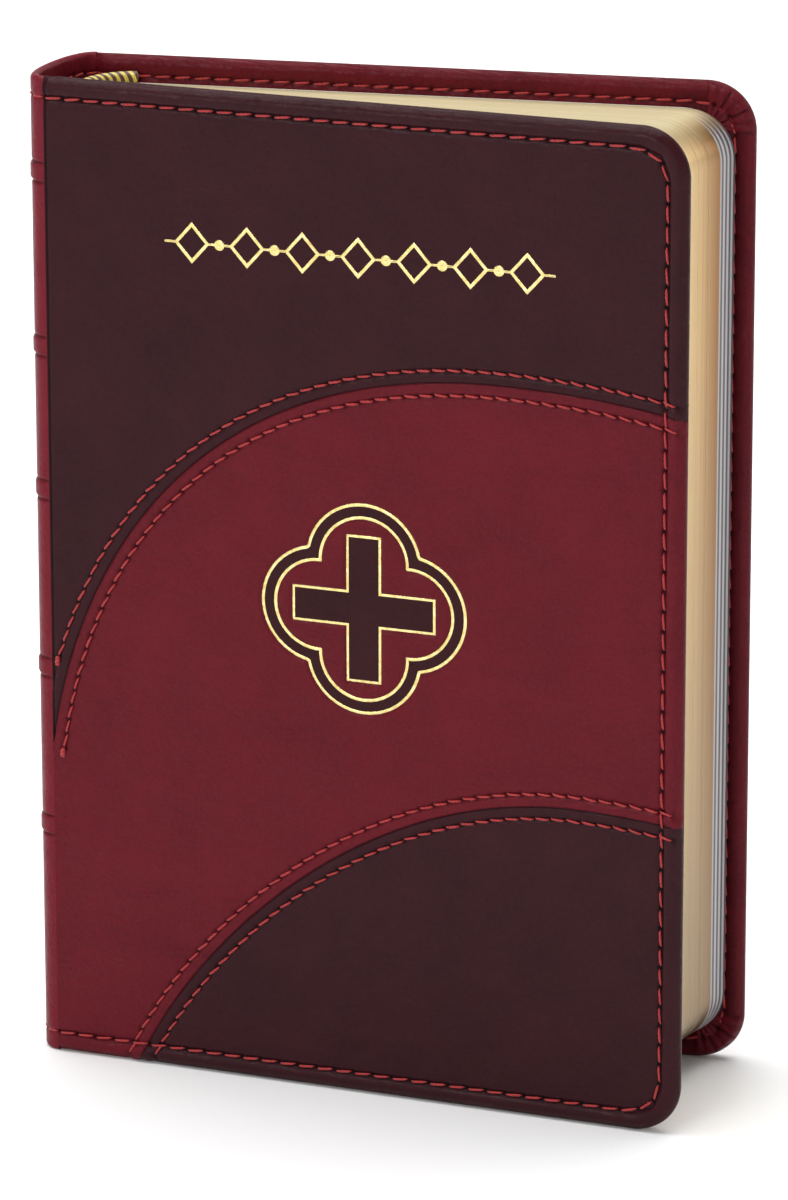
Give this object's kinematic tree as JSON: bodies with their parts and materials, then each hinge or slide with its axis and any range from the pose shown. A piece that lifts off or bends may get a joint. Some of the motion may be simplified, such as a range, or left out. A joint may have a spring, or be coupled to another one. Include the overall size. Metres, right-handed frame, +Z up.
{
  "type": "prayer book",
  "caption": "Hand-size prayer book with padded two-colour leather covers, stitched seams, gilt page edges and head bands; both covers and the front leaves open.",
  "frame": {"origin": "centre of the bounding box at the height of the tail edges the book stands on, with both covers closed", "axes": "+Z up from tail to head, +X from the spine to the fore-edge, +Y from the front cover to the back cover; the front cover's outside faces -Y exactly and the back cover's outside faces +Y turned 8.9 degrees towards -X"},
  "size_m": [0.123, 0.0416, 0.1795],
  "materials": {
    "dark_leather": "smooth, semi-matte",
    "burgundy_leather": "smooth, semi-matte",
    "spine_leather": "smooth, semi-matte",
    "red_thread": "matte",
    "brown_foil": "matte stamping foil",
    "gold_foil": "bright stamping foil",
    "card": "matte",
    "paper": "matte",
    "gilt_leaves": "gilt edges",
    "cloth": "matte",
    "silk_band": "satin"
  },
  "bodies": {
    "spine_and_rear_leaves": {"spine_leather": "spine_leather", "spine_inlay": "card", "spine_edge_stitch_tail": "red_thread", "spine_edge_stitch_head": "red_thread", "rear_section_1": "gilt_leaves", "rear_section_2": "gilt_leaves", "rear_section_3": "gilt_leaves", "rear_section_4": "gilt_leaves", "rear_section_5": "gilt_leaves", "rear_flyleaf": "paper", "fold_glue": "paper", "sewing_tape_1": "cloth", "sewing_tape_2": "cloth", "sewing_tape_3": "cloth", "mull_cloth": "cloth", "hollow_tube": "paper", "head_band": "silk_band", "tail_band": "silk_band"},
    "front_leaves": {"front_section_1": "gilt_leaves", "front_section_2": "gilt_leaves", "front_section_3": "gilt_leaves", "front_fold_glue": "paper"},
    "front_flyleaf_leaf": {"front_flyleaf": "paper"},
    "front_cover": {"front_leather_upper": "dark_leather", "front_leather_middle": "burgundy_leather", "front_leather_lower": "dark_leather", "front_board": "card", "front_pastedown": "paper", "upper_seam_stitch_outer": "red_thread", "upper_seam_stitch_inner": "red_thread", "lower_seam_stitch_outer": "red_thread", "lower_seam_stitch_inner": "red_thread", "front_edge_stitch": "red_thread", "emblem_band_fill": "brown_foil", "emblem_outline_outer": "gold_foil", "emblem_outline_inner": "gold_foil", "emblem_cross_fill": "brown_foil", "emblem_cross_outline": "gold_foil", "title_ornament": "gold_foil"},
    "back_cover": {"back_leather": "burgundy_leather", "back_board": "card", "back_pastedown": "paper", "back_edge_stitch": "red_thread"}
  },
  "joints": [
    {"name": "front_leaves_turn", "type": "hinge", "parent": "spine_and_rear_leaves", "child": "front_leaves", "pos_m": [-0.05645, -0.02081, 0], "axis": [0, 0, -1], "range_deg": [0, 40]},
    {"name": "front_cover_hinge", "type": "hinge", "parent": "front_leaves", "child": "front_cover", "pos_m": [-0.05645, -0.02081, 0], "axis": [0, 0, -1], "range_deg": [0, 125]},
    {"name": "front_flyleaf_turn", "type": "hinge", "parent": "front_leaves", "child": "front_flyleaf_leaf", "pos_m": [-0.05645, -0.02081, 0], "axis": [0, 0, -1], "range_deg": [0, 50]},
    {"name": "back_cover_hinge", "type": "hinge", "parent": "spine_and_rear_leaves", "child": "back_cover", "pos_m": [-0.05645, 0.00269, 0], "axis": [0, 0, 1], "range_deg": [0, 160]}
  ],
  "couplings": [
    {"joint": "front_flyleaf_turn", "follows": "front_cover_hinge", "ratio": 0.4}
  ]
}
